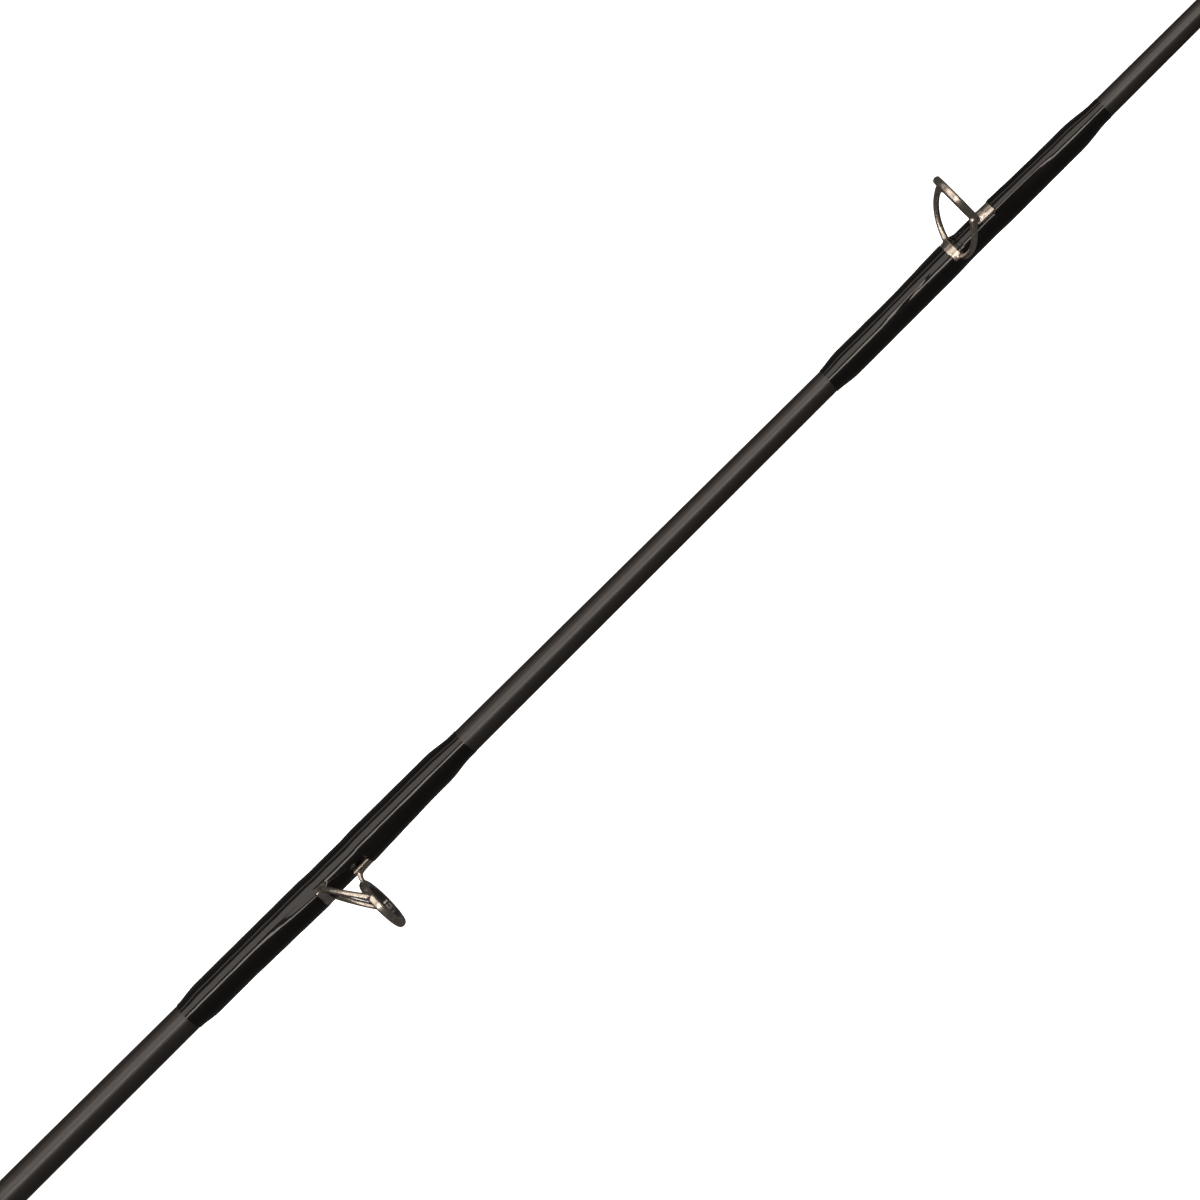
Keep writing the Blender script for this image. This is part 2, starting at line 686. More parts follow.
def make_seat_body():
    """The barrel with its helical thread, its keyway and the flat that the reel's foot rests on."""
    thread_x0, thread_x1 = SEAT_X0 + 4 * MM, SEAT_X0 + 47 * MM
    depth = 0.8 * MM
    bore = 7.75 * MM
    key_half, key_floor = 2 * MM, SEAT_R - 1 * MM
    key_x1 = HOOD_X1 + HOOD_TRAVEL
    land_x0, land_x1 = HOOD_X1 + 2 * MM, span("fixed_hood")[0] - 2 * MM
    land_z = SEAT_R - 0.6 * MM

    def shape(x, angle, r):
        outer = r > SEAT_R - 0.6 * MM
        turn = ((x - thread_x0) / PITCH - angle / (2 * math.pi)) % 1.0
        ridge = ramp((0.5 - abs(turn - 0.5) - 0.1) / 0.2)
        threaded = ramp((x - thread_x0) / (0.6 * MM)) * ramp((thread_x1 - x) / (0.6 * MM))
        out = r - depth * (1 - ridge) * threaded
        beside = abs(r * np.sin(angle))
        in_key = (beside <= key_half * 1.0001) & (np.cos(angle) > 0) & (x > thread_x0) & (x < key_x1)
        out = np.where(in_key, np.minimum(out, key_floor / np.maximum(np.cos(angle), 0.1)), out)
        in_land = (np.cos(angle) < -0.5) & (x > land_x0) & (x < land_x1)
        out = np.where(in_land, np.minimum(out, land_z / np.maximum(-np.cos(angle), 0.1)), out)
        return np.where(outer, out, r)

    edge = math.asin(key_half / SEAT_R)
    beside_edge = edge + 1e-4
    keyway = np.linspace(-edge, edge, 10)
    angles = np.concatenate([keyway, np.linspace(beside_edge, 2 * math.pi - beside_edge, 150)])
    stops = [SEAT_X0, SEAT_X0 + 0.3 * MM]
    stops += list(np.arange(thread_x0 - 0.2 * MM, thread_x1 + 0.3 * MM, 0.1 * MM))
    for x in (key_x1, land_x0, land_x1):
        stops += [x - 0.01 * MM, x + 0.01 * MM]
    stops += [SEAT_X1 - 0.3 * MM, SEAT_X1]
    outline = [(SEAT_X0, bore)] + [(x, SEAT_R) for x in sorted(stops)] + [(SEAT_X1, bore)]
    add_piece("seat_body", *lathed(outline, angles, shape), sharp=40)


def hood_field(node, mouth, bore):
    """A hood's band and the pocket below it. mouth is +1 if the pocket opens towards the tip."""
    lo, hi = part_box(node)
    length = hi.x - lo.x
    base = lo.x if mouth > 0 else hi.x
    wall = 0.9 * MM
    pocket_z = -6.8 * MM
    pocket_r = -lo.z + pocket_z
    field = Field(lo - Vector((1, 1, 1)) * MM, hi + Vector((1, 1, 1)) * MM, 0.3 * MM)
    ring_r = SEAT_R + 1.1 * MM

    def along(x):
        return (x - base) * mouth

    def ring(x, y, z):
        rho = np.sqrt(y ** 2 + z ** 2)
        return rounded_box([abs(along(x) - length / 2) - length / 2, rho - ring_r], 0.5 * MM)

    def pocket(x, y, z):
        rho = np.sqrt(y ** 2 + (z - pocket_z) ** 2)
        nose = pocket_r - 3 * MM * (1 - ramp(along(x) / (6 * MM)))
        return rounded_box([abs(along(x) - length / 2) - length / 2, rho - nose], 0.8 * MM)

    def hollow(x, y, z):
        rho = np.sqrt(y ** 2 + (z - pocket_z) ** 2)
        return rounded_box([abs(along(x) - length - 0.5 * MM) - 15.5 * MM, rho - (pocket_r - wall)], 0.6 * MM)

    def barrel(x, y, z):
        return np.sqrt(y ** 2 + z ** 2) - bore + 0 * x

    field.add(ring, lo, hi)
    field.add(pocket, lo, hi, blend=1.2 * MM)
    field.cut(hollow, blend=0.15 * MM)
    field.cut(barrel)
    return field.surface()


def boxed(lo, hi):
    """A plain box's corners and faces."""
    verts = [(x, y, z) for x in (lo[0], hi[0]) for y in (lo[1], hi[1]) for z in (lo[2], hi[2])]
    faces = [(0, 1, 3, 2), (4, 6, 7, 5), (0, 4, 5, 1), (2, 3, 7, 6), (0, 2, 6, 4), (1, 5, 7, 3)]
    return np.array(verts), np.array(faces)


def joined(*parts):
    """Several (verts, faces) as one."""
    verts, faces, base = [], [], 0
    for v, f in parts:
        verts.append(np.asarray(v, float))
        faces += [tuple(int(k) + base for k in row) for row in f]
        base += len(v)
    return np.concatenate(verts), faces


def make_hoods():
    bore = SEAT_R + 0.1 * MM
    key_half = 1.9 * MM
    add_piece("fixed_hood", *hood_field("fixed_hood", -1, SEAT_R), sharp=55)
    key = boxed((HOOD_X0 + 0.5 * MM, -key_half, SEAT_R - 0.9 * MM),
                (HOOD_X1 - 0.5 * MM, key_half, SEAT_R + 0.6 * MM))
    add_piece("sliding_hood", *joined(hood_field("sliding_hood", 1, bore), key), sharp=55)
    x0, x1, r = span("hood_washer")
    lathe("hood_washer", [(x0, bore, 0), (x0, r, 0.2 * MM), (x1, r, 0.2 * MM), (x1, bore, 0)])


def make_nut():
    """The lock nut: a fluted grip and a plain collar that bears on the washer."""
    x0, x1, r = span("lock_nut")
    bore = SEAT_R + 0.06 * MM
    collar = SEAT_R + 1.2 * MM
    flutes = 18

    def shape(x, angle, radius):
        grip = ramp((x - x0 - 1.2 * MM) / (1.2 * MM)) * ramp((x1 - 4.2 * MM - x) / (1.2 * MM))
        wave = (0.5 + 0.5 * np.cos(flutes * angle)) ** 2.2
        return np.where(radius > collar + 0.2 * MM, radius - 0.62 * MM * wave * grip, radius)

    lathe("lock_nut", [
        (x0, bore, 0.2 * MM), (x0, r, 1 * MM), (x1 - 4 * MM, r, 0.6 * MM), (x1 - 2.5 * MM, collar, 0.4 * MM),
        (x1, collar, 0.3 * MM), (x1, bore, 0.2 * MM),
    ], segments=288, shape=shape, fine=0.35 * MM)


make_seat_body()
make_hoods()
make_nut()
arbors = nodes["seat_arbors"]
arbors.data.materials.clear()
arbors.data.materials.append(MATERIALS["arbor"])


# ---- Guides ----

# Sizes marked * are for a size 10 guide and grow with the guide.
UNDER_T = 0.35 * MM                         # underwrap
WRAP_T = 0.6 * MM                           # wrap with its resin
BAND_T = 0.75 * MM                          # metal round the ceramic ring
CERAMIC_RECESS = 0.08 * MM                  # the ceramic ring is this far inside the band's edges
FOOT_END_T = 0.2 * MM                       # thin end of a foot
FOOT_REACH = 0.72                           # sine of the widest half-angle of a foot
SADDLE_X0, SADDLE_X1 = -8 * MM, -6.2 * MM   # * from the ring's plane
SADDLE_ANGLE = math.radians(58)
LEG_MID = (-3.4 * MM, 6.36 * MM, -4.77 * MM)  # * a rear leg's middle, from the ring's centre
LEG_END_ANGLE = math.radians(8)             # how far below the ring's centre line the rear legs join it
LEG_STEPS = 14


class Guide:
    """A line guide's places and sizes, read from its CAD nodes. Its own axes have x along the rod from the
    ring's plane and z from the rod's axis up through the ring."""

    def __init__(self, number):
        self.name = f"guide_{number}"
        centre = middle(self.name + "_ring")
        self.x = centre.x
        self.turn = math.atan2(-centre.y, centre.z)
        self.height = math.hypot(centre.y, centre.z)
        lo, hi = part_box(self.name + "_ring")
        self.seat_r = (hi.y - lo.y) / 2
        self.ring_half = (hi.x - lo.x) / 2
        self.size = (self.seat_r - 0.05 * MM) * 2
        self.s = self.size / (10 * MM)
        self.band_r = self.seat_r + BAND_T
        self.half_band = self.ring_half + CERAMIC_RECESS
        self.under = UNDER_T if self.name + "_underwrap" in nodes else 0.0
        self.foot_t = 0.5 * MM + 0.03 * self.size
        self.foot_half = 1.1 * MM * math.sqrt(self.s)
        self.foot_angle = math.asin(min(self.foot_half / float(self.on_under(0)), FOOT_REACH))
        self.rear_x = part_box(self.name + "_rear_wrap")[0].x - self.x
        self.front_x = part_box(self.name + "_front_wrap")[1].x - self.x
        self.rear_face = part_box(self.name + "_rear_wrap")[1].x - self.x
        self.front_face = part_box(self.name + "_front_wrap")[0].x - self.x
        self.rear_foot = -0.63 * abs(self.rear_x)
        self.front_foot = 0.58 * self.front_x

    def on_blank(self, x):
        """The blank's radius at the guide's own x."""
        return blank_r(self.x + x)

    def on_under(self, x):
        return self.on_blank(x) + self.under

    def place(self, verts):
        """From the guide's own axes into the rod's."""
        verts = np.asarray(verts, float)
        c, s = math.cos(self.turn), math.sin(self.turn)
        y = verts[:, 1] * c - verts[:, 2] * s
        z = verts[:, 1] * s + verts[:, 2] * c
        return np.stack([verts[:, 0] + self.x, y, z], -1)


def guide_frame(g):
    """Three legs, the saddle and two feet grown together with the band that holds the ring."""
    s = g.s
    under = float(g.on_under(0))
    half_band = g.half_band
    leg_r = 0.36 * MM + 0.025 * g.size
    mid_y = LEG_MID[1] * g.band_r / (5.8 * MM)
    wide = mid_y + leg_r + 1 * MM
    field = Field(
        (g.rear_foot - 1 * MM, -wide, -0.5 * MM),
        (g.front_foot + 1 * MM, wide, g.height + g.band_r + 1 * MM),
        0.125 * MM * s ** 0.8)
    field.add(band(-half_band, half_band, g.seat_r, g.band_r, g.height, 0.2 * MM, 0.36 * MM),
              (-half_band, -g.band_r, g.height - g.band_r), (half_band, g.band_r, g.height + g.band_r))

    for side in (-1, 1):
        rear_leg(field, g, side, leg_r, mid_y)
    saddle_x0 = SADDLE_X0 * s
    reach = under + g.foot_t
    field.add(plate(saddle_x0, SADDLE_X1 * s, under, under + 0.82 * g.foot_t, SADDLE_ANGLE, 0.2 * MM),
              (saddle_x0, -reach, 0), (SADDLE_X1 * s, reach, reach), blend=0.4 * s * MM)
    tall = reach + 1 * MM
    foot_x0 = saddle_x0 + 0.4 * MM
    field.add(foot(g, foot_x0, g.rear_foot), (g.rear_foot, -tall, 0), (foot_x0, tall, tall), blend=0.3 * MM)
    field.add(foot(g, -0.2 * half_band, g.front_foot),
              (-half_band, -tall, 0), (g.front_foot, tall, tall), blend=0.3 * MM)
    front_leg(field, g)

    def core(x, y, z):
        return np.sqrt(y ** 2 + z ** 2) - g.on_under(x) - 0.01 * MM

    def ring_hole(x, y, z):
        return np.sqrt(y ** 2 + (z - g.height) ** 2) - g.seat_r + 0 * x

    field.cut(core)
    field.cut(ring_hole)
    verts, faces = field.surface()
    add_piece(g.name + "_frame", g.place(verts), faces)


def rear_leg(field, g, side, leg_r, mid_y):
    """A round leg that bows out from one end of the saddle to the side of the ring."""
    root_r = float(g.on_under(0)) + g.foot_t * 0.55
    root = (SADDLE_X1 * g.s - 0.5 * leg_r,
            side * root_r * math.sin(SADDLE_ANGLE), root_r * math.cos(SADDLE_ANGLE))
    mid = (LEG_MID[0] * g.s, side * mid_y, g.height + LEG_MID[2] * g.s)
    top_r = g.seat_r + leg_r + 0.02 * MM
    top = (-0.5 * g.s * MM,
           side * top_r * math.cos(LEG_END_ANGLE), g.height - top_r * math.sin(LEG_END_ANGLE))
    last = LEG_STEPS - 1
    radii = [leg_r * (1.05 - 0.12 * math.sin(math.pi * k / last) + 0.2 * ramp((k - last + 2) / 2))
             for k in range(LEG_STEPS)]
    field.bar(arc(root, mid, top, LEG_STEPS), radii, blend=0.5 * g.s * MM)


def foot(g, x0, x1):
    """A tongue that thins towards x1 and follows the blank's taper."""
    def shape(x, y, z):
        t = np.clip(x / x1, 0, 1)
        low = g.on_under(x) + 0.02 * MM
        high = g.on_under(x) + g.foot_t + (FOOT_END_T - g.foot_t) * t
        narrow = 1 - 0.45 * ramp((t - 0.75) / 0.25)
        rho = np.sqrt(y ** 2 + z ** 2)
        return rounded_box([
            abs(x - (x0 + x1) / 2) - abs(x1 - x0) / 2,
            abs(rho - (low + high) / 2) - (high - low) / 2,
            (abs(np.arctan2(y, z)) - g.foot_angle * narrow) * low,
        ], 0.09 * MM)
    return shape


def front_leg(field, g):
    """A flat strap from the bottom of the ring down to the front foot, wider where it lands."""
    s = g.s
    under = float(g.on_under(0))
    neck = g.height - g.band_r
    strap_half = 0.7 * MM * math.sqrt(s)
    strap_r = 0.4 * MM * s ** 0.5
    strap = [np.array(p) for p in (
        (0.0, 0, neck + 0.35 * MM),
        (0.05 * s * MM, 0, (neck + under + g.foot_t) / 2),
        (0.6 * s * MM, 0, under + g.foot_t * 0.9),
        (1.7 * s * MM, 0, under + g.foot_t * 0.55),
    )]

    def shape(x, y, z):
        flare = 1 + 0.6 * ramp((under + 1.6 * MM - z) / (1.4 * MM))
        flat = np.maximum(abs(y) - (strap_half - strap_r) * flare, 0)
        best = None
        for a, b in zip(strap, strap[1:]):
            d = capsule(x, flat, z, a, b, strap_r, strap_r)
            best = d if best is None else np.minimum(best, d)
        return best

    wide = strap_half + 1 * MM
    field.add(shape, (-1 * MM * s, -wide, under - 0.5 * MM), (2.6 * MM * s, wide, neck + 1 * MM),
              blend=0.35 * s * MM)


def ring_outline(seat_r, half, bore_r):
    """Cross-section of a ceramic ring with a rounded bore and two rounded lips, as (x, r, fillet) corners."""
    thick = seat_r - bore_r
    return [
        (-half, seat_r - 0.1 * MM, 0.12 * MM), (-half, bore_r, thick * 0.55),
        (half, bore_r, thick * 0.55), (half, seat_r - 0.1 * MM, 0.12 * MM),
        (half * 0.8, seat_r, 0.05 * MM), (-half * 0.8, seat_r, 0.05 * MM),
    ]


def guide_ring(g):
    bore = g.seat_r - 1.1 * MM * min(g.s, math.sqrt(g.s))
    verts, faces = lathed(rounded(ring_outline(g.seat_r, g.ring_half, bore), 8), 128)
    verts[:, 2] += g.height
    add_piece(g.name + "_ring", g.place(verts), faces, sharp=60)


def settle_waves(x, angle, seed, depth):
    """Slow lengthwise streaks and swells of set resin, in metres of radius."""
    draw = np.random.default_rng(seed)
    total = 0
    for lobes in (3, 4, 5, 7, 9, 12, 16):
        drift = draw.uniform(-1, 1) * 60
        phase = draw.uniform(0, 2 * math.pi)
        swell = 0.6 + 0.4 * np.sin(x * draw.uniform(150, 420) + draw.uniform(0, 6))
        total = total + np.sin(lobes * angle + phase + drift * x) * swell / lobes ** 0.8
    for k in range(3):
        total = total + 0.5 * np.sin(x * draw.uniform(500, 1300) + draw.uniform(0, 6))
    return depth * total


def resin_height(g, x, angle):
    """Height of the finished resin over the blank, all along a guide and all round: one smooth skin that runs
    out at both ends, swells over each foot, climbs the saddle and pools between the feet."""
    off = abs(angle)
    rear = x < 0
    left = np.where(rear, x - g.rear_x, g.front_x - x)
    slope, tail = np.where(rear, 5.2 * MM, 6.2 * MM), np.where(rear, 0.0, 1.6 * MM)
    lip = np.where(rear, 0.12 * MM, 0.07 * MM)
    climb = np.clip((left - tail) / slope, 0, 1)
    coat = lip + (WRAP_T - lip) * (0.5 * ramp(climb) + 0.5 * np.sin(climb * math.pi / 2) ** 1.4)
    dip = ramp((x - g.rear_face + 2 * MM) / (4 * MM)) * ramp((g.front_face + 2 * MM - x) / (4 * MM))
    coat = coat - 0.13 * MM * dip

    foot_end = np.where(rear, g.rear_foot, g.front_foot)
    t = np.clip(x / foot_end, 0, 1.05)
    over_metal = g.under + g.foot_t + (FOOT_END_T - g.foot_t) * t + 0.12 * MM
    past = ramp((abs(x) - abs(foot_end) + 1 * MM) / (3.5 * MM))
    spread = g.foot_angle * (1 - 0.3 * np.clip(t, 0, 1))
    over_foot = np.maximum(over_metal - coat, 0) * (1 - past) / (1 + (off / (spread * 1.7)) ** 6)

    saddle_top = g.under + 0.86 * g.foot_t
    saddle_x1 = SADDLE_X1 * g.s
    behind = ramp(1 - (g.rear_face - x) / (17 * MM * math.sqrt(g.s))) ** 1.5
    before = np.exp(-(np.maximum(x - saddle_x1, 0) / (1.4 * MM)) ** 2)
    beside = 1 - ramp((off - SADDLE_ANGLE * 0.8) / (SADDLE_ANGLE * 0.5))
    at_saddle = (saddle_top - coat) * np.where(x < saddle_x1, behind, before) * beside

    between = ramp((x - g.rear_face) / (1 * MM)) * ramp((g.front_face + 1 * MM - x) / (1.5 * MM))
    pool = (g.under + 0.38 * MM - coat) * between / (1 + (off / 0.95) ** 4)
    return coat + np.maximum(np.maximum(over_foot * (1 - between), at_saddle), pool)


def guide_skin(g, part, x0, x1, seed):
    """One wrap, or the underwrap where it shows between the wraps, from x0 to x1.
    Along a guide the seed is the same, so that the streaks run on from one skin to the next."""
    stations = np.linspace(x0, x1, int((x1 - x0) / (0.2 * MM)) + 1)
    angles = np.linspace(-math.pi, math.pi, 192, endpoint=False)
    x, angle = np.meshgrid(stations, angles, indexing="ij")
    height = resin_height(g, x, angle)
    left = np.minimum(x - g.rear_x, g.front_x - x)
    height = height + settle_waves(x, angle, seed, 0.0095 * MM) * np.clip(left / (2 * MM), 0, 1)
    in_saddle = ramp((x + 8.1 * g.s * MM) / (0.3 * MM)) * ramp((-6.1 * g.s * MM - x) / (0.4 * MM))
    under_saddle = in_saddle * (1 - ramp((abs(angle) - SADDLE_ANGLE * 0.96) / 0.08))
    below_metal = np.minimum(height, g.under + (1 - under_saddle * 0.75) * g.foot_t)
    height = np.where(under_saddle > 0, below_metal, height)
    outer = g.on_blank(x) + np.maximum(height, 0.04 * MM)
    x = x + 0.22 * MM * np.sin(angle + seed) * np.clip(1 - left / (3 * MM), 0, 1)
    verts, faces = skin(x, angle, outer, g.on_blank(x) - 0.1 * MM)
    add_piece(g.name + part, g.place(verts), faces, sharp=65)


def make_guide(number):
    g = Guide(number)
    seed = 10 + number
    guide_frame(g)
    guide_ring(g)
    if g.under:
        guide_skin(g, "_underwrap", g.rear_face, g.front_face, seed)
    guide_skin(g, "_rear_wrap", g.rear_x, g.rear_face, seed)
    guide_skin(g, "_front_wrap", g.front_face, g.front_x, seed)


for guide_number in range(1, 8):
    make_guide(guide_number)


# ---- Plain wraps ----

def plain_wrap(node, low_slope, high_slope, thick, seed, base=blank_r):
    """A wrap with nothing under it, with a run-out of the given length at each end."""
    x0, x1, _ = span(node)
    count = int((x1 - x0) / (0.2 * MM))

    def shape(x, angle, r):
        body = quarter(np.minimum((x - x0) / low_slope, (x1 - x) / high_slope))
        top = base(x) + 0.05 * MM + (thick - 0.05 * MM) * body
        top = top + settle_waves(x, angle, seed, 0.007 * MM) * body
        return np.where(r > 0, top, base(x) - 0.05 * MM)

    outline = [(x, 1.0) for x in np.linspace(x0, x1, count)] + [(x1, -1.0), (x0, -1.0)]
    verts, faces = lathed(outline, 144, shape)
    add_piece(node, verts, faces, sharp=65)


plain_wrap("check_wrap", 0.6 * MM, 3 * MM, 0.39 * MM, 3, butt_r)
plain_wrap("butt_ferrule_wrap", 2 * MM, 2 * MM, 0.39 * MM, 4, butt_r)
plain_wrap("tip_ferrule_wrap", 0.8 * MM, 5 * MM, WRAP_T, 5)


# ---- Hook keeper ----

def make_keeper():
    """A plate with two ears on the blank, between two wraps over its ends."""
    lo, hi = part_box("hook_keeper_base")
    x = (lo.x + hi.x) / 2
    pivot = -joints["hook_keeper_flip"]["pos_m"][2]
    blank = float(butt_r(x))
    foot_half = (hi.x - lo.x) / 2
    thick = 0.6 * MM
    field = Field(
        (-foot_half - 1 * MM, -5 * MM, 0), (foot_half + 1 * MM, 5 * MM, pivot + 2.5 * MM), 0.13 * MM)
    tongue_angle = math.radians(16)
    plate_angle = math.radians(42)
    reach = blank + 2 * MM

    def tongue(x_, y, z):
        rho = np.sqrt(y ** 2 + z ** 2)
        low = butt_r(x + x_)
        t = abs(x_) / foot_half
        high = low + thick * (1 - 0.5 * ramp((t - 0.5) / 0.5))
        return rounded_box([
            abs(x_) - foot_half, abs(rho - (low + high) / 2) - (high - low) / 2,
            (abs(np.arctan2(y, z)) - tongue_angle) * low], 0.1 * MM)

    field.add(tongue, (-foot_half, -reach, 0), (foot_half, reach, reach))
    half = 3.6 * MM
    field.add(plate(-half, half, blank - 0.1 * MM, blank + thick, plate_angle, 0.2 * MM),
              (-half, -reach, 0), (half, reach, reach), blend=0.3 * MM)
    ear_in, ear_out = 2.1 * MM, 3.1 * MM
    ear_r = 1.3 * MM
    for side in (-1, 1):
        def ear(x_, y, z):
            arm = abs(x_) - ear_r
            top = np.sqrt(x_ ** 2 + (z - pivot) ** 2) - ear_r
            flat = np.where(z > pivot, top, np.maximum(arm, blank - z))
            across = abs(y * side - (ear_in + ear_out) / 2) - (ear_out - ear_in) / 2
            return rounded_box([flat, across], 0.12 * MM)
        field.add(ear, (-1.4 * MM, -ear_out, blank - 0.5 * MM), (1.4 * MM, ear_out, pivot + 1.4 * MM),
                  blend=0.25 * MM)
    field.cut(lambda x_, y, z: np.sqrt(y ** 2 + z ** 2) - butt_r(x + x_) - 0.01 * MM)
    field.cut(lambda x_, y, z: np.sqrt(x_ ** 2 + (z - pivot) ** 2) - 0.61 * MM + 0 * y)
    verts, faces = field.surface()
    add_piece("hook_keeper_base", turned_over(verts, x), faces)
    make_loop(x, pivot)
    make_keeper_wraps(x, foot_half, thick, tongue_angle)


def turned_over(verts, x):
    """From axes with the keeper on top to the rod's, where it hangs on the reel's side."""
    return np.stack([verts[:, 0] + x, -verts[:, 1], -verts[:, 2]], -1)


def make_loop(x, pivot):
    """A wire bent into a neck and a round loop, with its pin through the ears."""
    wire = 0.55 * MM
    neck_y, neck_z = 1.45 * MM, 1.5 * MM
    bend_r, bend_z = 4.4 * MM, 4.1 * MM
    field = Field((-1 * MM, -5.5 * MM, -1 * MM), (1 * MM, 5.5 * MM, bend_z + bend_r + 1 * MM), 0.12 * MM)
    half_pin = 3.4 * MM
    field.bar([(0, -half_pin, 0), (0, half_pin, 0)], [wire, wire])
    route = [(0, neck_y, 0), (0, neck_y, neck_z)]
    route += arc((0, neck_y, neck_z), (0, neck_y + 1.42 * MM, neck_z + 1.1 * MM), (0, bend_r, bend_z), 5)[1:]
    over = arc((0, bend_r, bend_z), (0, 0, bend_z + bend_r), (0, -bend_r, bend_z), 25)[1:]
    route += over + [np.array(p) * (1, -1, 1) for p in reversed(route[:-1])]
    field.bar(route, [wire] * len(route), blend=0.25 * MM)
    verts, faces = field.surface()
    verts = verts + np.array((0, 0, pivot))
    add_piece("hook_loop", turned_over(verts, x), faces)


def make_keeper_wraps(x, foot_half, thick, tongue_angle):
    """The two wraps over the ends of the keeper's tongue, as one piece."""
    near, far = 4.2 * MM, foot_half + 3 * MM
    parts = []
    for side in (-1, 1):
        stations = np.linspace(near, far, 60)
        angles = np.linspace(-math.pi, math.pi, 144, endpoint=False)
        away, angle = np.meshgrid(stations, angles, indexing="ij")
        xs = x + side * away
        body = quarter((far - away) / (2.2 * MM))
        start = 0.55 + 0.45 * ramp((away - near) / (0.8 * MM))
        coat = 0.05 * MM + 0.35 * MM * body * start
        beside = (abs(angle) / (tongue_angle * 1.5)) ** 4
        over = (1 - ramp((away - foot_half + 1 * MM) / (2.4 * MM))) / (1 + beside)
        outer = butt_r(xs) + coat + (thick + 0.2 * MM - 0.35 * MM) * over
        outer = outer + settle_waves(xs, angle, 71 + side, 0.006 * MM) * body
        verts, faces = skin(xs, angle, outer, butt_r(xs) - 0.05 * MM)
        parts.append((turned_over(verts, 0), faces[:, ::side]))
    add_piece("hook_keeper_wraps", *joined(*parts), sharp=65)


make_keeper()


# ---- Tip-top ----

def make_tip_top():
    """The tube over the blank's end, its ring on a brace and two side wires, and the wrap behind it."""
    ring = middle("tip_top_ring")
    lo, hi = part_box("tip_top_ring")
    seat_r, half = (hi.y - lo.y) / 2, (hi.x - lo.x) / 2
    band_r = seat_r + BAND_T
    half_band = half - 0.15 * MM
    tube_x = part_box("tip_top_frame")[0].x
    tube_end = tube_x + 13 * MM
    tube_r, tube_bore = 1.45 * MM, 1.07 * MM
    low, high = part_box("tip_top_frame")
    field = Field(low - Vector((1, 1, 1)) * MM, high + Vector((1, 1, 1)) * MM, 0.11 * MM)

    def tube(x, y, z):
        rho = np.sqrt(y ** 2 + z ** 2)
        along = abs(x - (tube_x + tube_end) / 2) - (tube_end - tube_x) / 2
        return rounded_box([along, rho - tube_r], 0.3 * MM)

    field.add(tube, (tube_x, -tube_r, -tube_r), (tube_end, tube_r, tube_r))
    field.add(band(ring.x - half_band, ring.x + half_band, seat_r, band_r, ring.z, 0.22 * MM),
              (ring.x - half_band, -band_r, ring.z - band_r), (ring.x + half_band, band_r, ring.z + band_r))
    wire = 0.5 * MM
    brace = arc((tube_end - 0.5 * MM, 0, 0.2 * MM), (ring.x - 3.2 * MM, 0, 0.15 * MM),
                (ring.x, 0, ring.z - band_r + 0.2 * MM), 8)
    field.bar(brace, [wire] * 8, blend=0.35 * MM)
    for side in (-1, 1):
        route = arc((tube_x + 5 * MM, side * (tube_r - 0.2 * MM), 0.6 * MM),
                    (tube_x + 12 * MM, side * 4 * MM, 3 * MM),
                    (ring.x - 0.2 * MM, side * (band_r - 0.25 * MM), ring.z), 14)
        field.bar(route, [wire] * 14, blend=0.35 * MM)

    def bore(x, y, z):
        return rounded_box([x - TIP_X1 - 0.1 * MM, np.sqrt(y ** 2 + z ** 2) - tube_bore], 0.05 * MM)

    field.cut(bore)
    field.cut(lambda x, y, z: np.sqrt(y ** 2 + (z - ring.z) ** 2) - seat_r + 0 * x)
    verts, faces = field.surface()
    add_piece("tip_top_frame", verts, faces)

    verts, faces = lathed(rounded(ring_outline(seat_r, half, seat_r - 1.12 * MM), 8), 112)
    add_piece("tip_top_ring", verts + np.array((ring.x, 0, ring.z)), faces, sharp=60)
    make_tip_top_wrap(tube_x, tube_r)


def make_tip_top_wrap(tube_x, tube_r):
    """A wrap that climbs from the blank onto the lower end of the tip-top's tube."""
    x0, x1, _ = span("tip_top_wrap")

    def shape(x, angle, radius):
        slope = quarter((x - x0) / (4 * MM))
        onto = ramp((x - tube_x + 2 * MM) / (2.4 * MM))
        end = quarter((x1 - x) / (1.2 * MM))
        free = blank_r(x) + 0.05 * MM + 0.3 * MM * slope
        top = free + (tube_r + 0.04 * MM + 0.2 * MM * end - free) * onto
        top = top + settle_waves(x, angle, 91, 0.005 * MM) * slope * end
        return np.where(radius > 0, top, np.where(x > tube_x, tube_r, blank_r(x)) - 0.05 * MM)

    outline = [(x, 1.0) for x in np.linspace(x0, x1, 80)]
    outline += [(x, -1.0) for x in (x1, tube_x + 0.01 * MM, tube_x, x0)]
    verts, faces = lathed(outline, 112, shape)
    add_piece("tip_top_wrap", verts, faces, sharp=65)


make_tip_top()


# ---- Floor and light ----

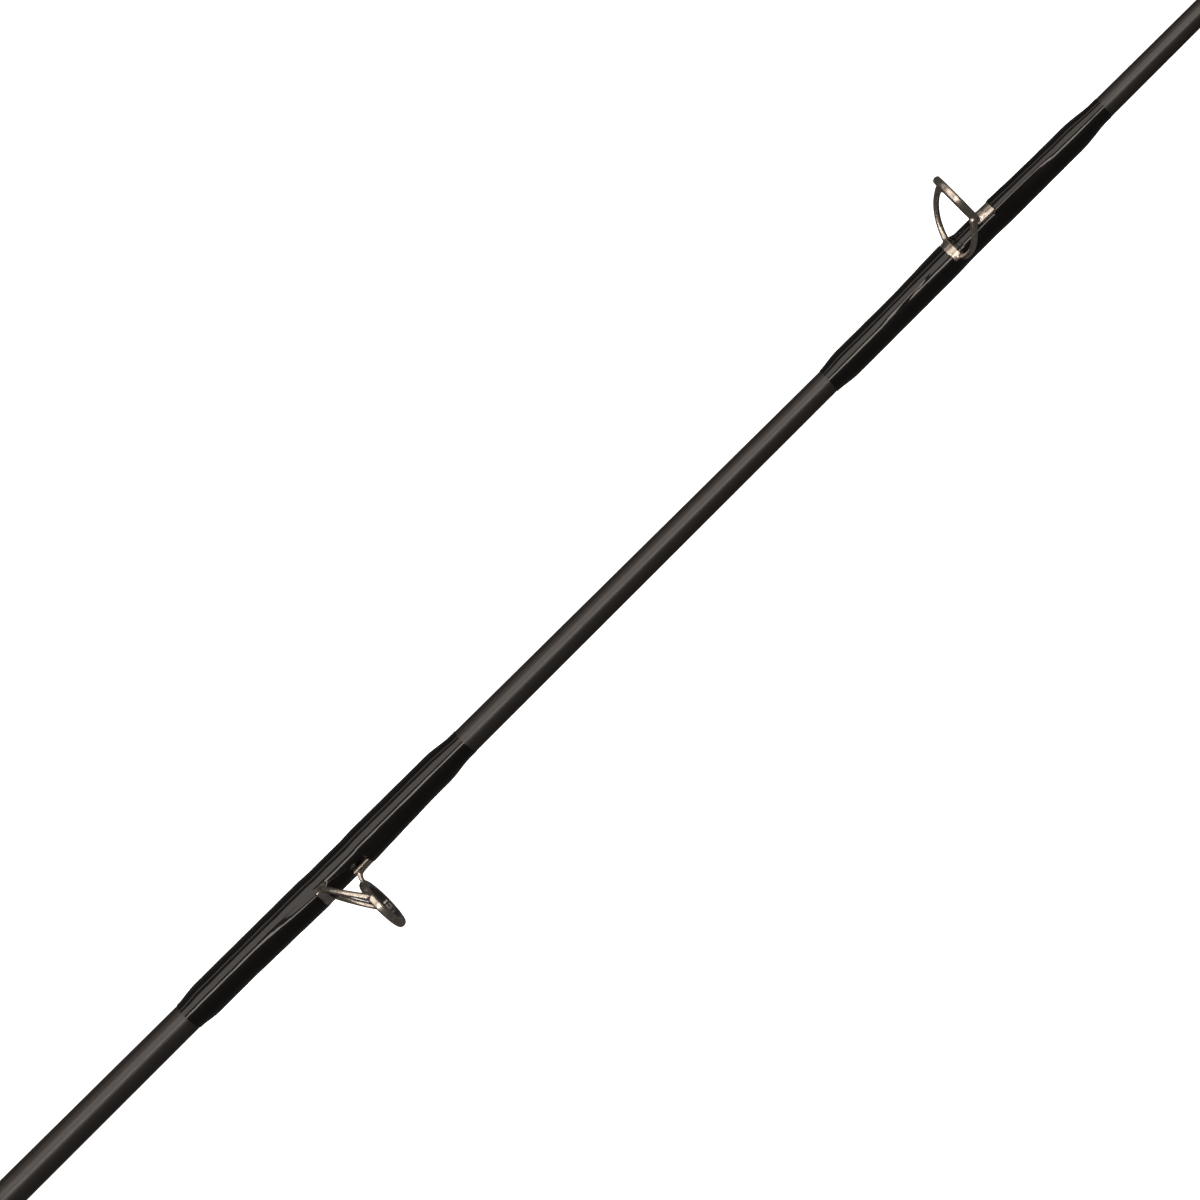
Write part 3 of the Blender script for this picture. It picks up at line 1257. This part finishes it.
def stage_material(name, colour):
    """A matt surface that glows evenly white."""
    mat = bpy.data.materials.new(name)
    mat.use_nodes = True
    shader = mat.node_tree.nodes["Principled BSDF"]
    shader.inputs["Base Color"].default_value = (*colour, 1)
    shader.inputs["Roughness"].default_value = 0.9
    shader.inputs["Specular IOR Level"].default_value = 0.0
    shader.inputs["Emission Color"].default_value = (1, 1, 1, 1)
    shader.inputs["Emission Strength"].default_value = 1.0
    return mat


def make_floor():
    """A pale floor well below the rod, and a pale backdrop far round it. Neither shows in reflections."""
    bpy.ops.mesh.primitive_plane_add(size=90, location=(1.0, 0, -0.45))
    floor = bpy.context.object
    floor.name = "floor"
    floor.data.materials.append(stage_material("floor_white", (0.9, 0.9, 0.9)))
    bpy.ops.mesh.primitive_uv_sphere_add(radius=60, segments=48, ring_count=24, location=(1.0, 0, 0))
    backdrop = bpy.context.object
    backdrop.name = "backdrop"
    backdrop.data.materials.append(stage_material("backdrop_white", (0.0, 0.0, 0.0)))
    for surround in (floor, backdrop):
        surround.visible_glossy = False
        surround.visible_diffuse = False
    backdrop.visible_shadow = False


LIGHT_TINT = (1.0, 0.9, 0.82)


def softbox(name, start, end, radiance):
    """A long light parallel to the rod, between two angles in degrees from straight up towards the camera."""
    distance, length = 2.4, 7.0
    width = 2 * distance * math.tan(math.radians(end - start) / 2)
    middle_x = (cad_box[0].x + cad_box[1].x) / 2
    a = math.radians((start + end) / 2)
    data = bpy.data.lights.new(name, "AREA")
    data.shape = "RECTANGLE"
    data.size, data.size_y = length, width
    data.energy = radiance * math.pi * length * width
    data.color = LIGHT_TINT
    light = bpy.data.objects.new(name, data)
    bpy.context.scene.collection.objects.link(light)
    light.location = (middle_x, -math.sin(a) * distance, math.cos(a) * distance)
    light.rotation_euler = (-a, 0, 0)
    light.visible_camera = False


def make_lights():
    softbox("key", 22, 51, 5.2)
    softbox("shoulder", -14, 20, 1.6)
    softbox("sky", -62, -16, 0.75)
    world = bpy.data.worlds.new("world")
    world.use_nodes = True
    world.node_tree.nodes["Background"].inputs["Color"].default_value = (1, 0.97, 0.94, 1)
    world.node_tree.nodes["Background"].inputs["Strength"].default_value = 0.08
    bpy.context.scene.world = world
    bpy.context.scene.view_settings.view_transform = "Standard"
    bpy.context.scene.view_settings.look = "None"


make_floor()
make_lights()

bpy.context.view_layer.update()
